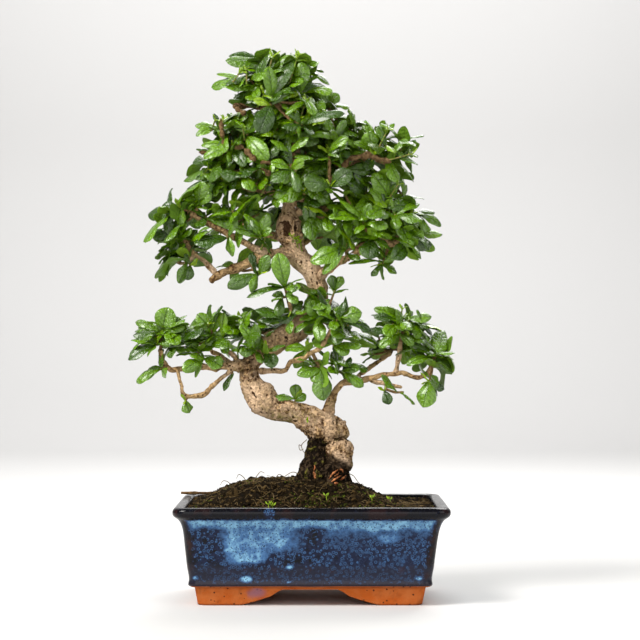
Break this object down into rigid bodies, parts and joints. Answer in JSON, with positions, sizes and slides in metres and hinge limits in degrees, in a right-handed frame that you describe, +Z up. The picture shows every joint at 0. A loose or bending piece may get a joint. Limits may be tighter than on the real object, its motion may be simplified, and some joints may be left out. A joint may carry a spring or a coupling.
{
  "type": "fukien tea bonsai",
  "caption": "Small-leaved evergreen tree trained as a bonsai with an S-shaped trunk and layered leaf pads, planted in a shallow rectangular glazed pot with a footed base.",
  "frame": {"origin": "on the table, under the middle of the whole plant's bounding box", "axes": "+Z up along the tree, +X to the right and -Y towards the viewer, with the pot's long side along X"},
  "size_m": [0.2418, 0.1522, 0.4068],
  "materials": {
    "glaze": "glossy mottled blue and black glaze over bare orange clay feet",
    "screen_mesh": "matt black plastic mesh",
    "soil": "damp fibrous compost with moss",
    "bark": "pale tan bark with dark pits",
    "dead_wood": "dry brown twig",
    "foliage": "glossy dark green leaves"
  },
  "bodies": {
    "root": {"pot": "glaze", "drain_screen_left": "screen_mesh", "drain_screen_right": "screen_mesh", "soil": "soil", "trunk": "bark", "fallen_twig": "dead_wood", "spray_crown_apex": "foliage", "spray_crown_top_left": "foliage", "spray_crown_front_top": "foliage", "spray_crown_top_right": "foliage", "spray_crown_right": "foliage", "spray_crown_right_low": "foliage", "spray_crown_right_back": "foliage", "spray_mid_right_upper": "foliage", "spray_trunk_upper_right": "foliage", "spray_mid_right_front": "foliage", "spray_mid_right_end": "foliage", "spray_mid_right_tip": "foliage", "spray_crown_left": "foliage", "spray_crown_left_low": "foliage", "spray_mid_left_high": "foliage", "spray_mid_left_end": "foliage", "spray_mid_left_upper": "foliage", "spray_mid_left_low": "foliage", "spray_trunk_front": "foliage", "spray_lower_middle_left": "foliage", "spray_elbow_front": "foliage", "spray_lower_middle": "foliage", "spray_lower_middle_right": "foliage", "spray_lower_middle_front": "foliage", "spray_lower_hanging": "foliage", "spray_lower_right_hanging": "foliage", "spray_lower_right_top": "foliage", "spray_lower_right_end": "foliage", "spray_lower_left_tip": "foliage", "spray_lower_left_low": "foliage", "spray_lower_left_middle": "foliage", "spray_lower_left_upper": "foliage", "spray_lower_left_hanging": "foliage", "spray_elbow_leaf": "foliage", "spray_trunk_sprout": "foliage", "spray_crown_middle_front": "foliage", "spray_crown_low_front": "foliage", "spray_crown_middle_right": "foliage", "spray_crown_back_upper": "foliage", "spray_crown_back_middle": "foliage", "spray_crown_back_left": "foliage", "spray_crown_back_right": "foliage", "spray_mid_back_left": "foliage", "spray_mid_back": "foliage", "spray_mid_back_right": "foliage", "spray_lower_back": "foliage", "spray_lower_back_left": "foliage", "spray_lower_back_right": "foliage"}
  },
  "joints": []
}
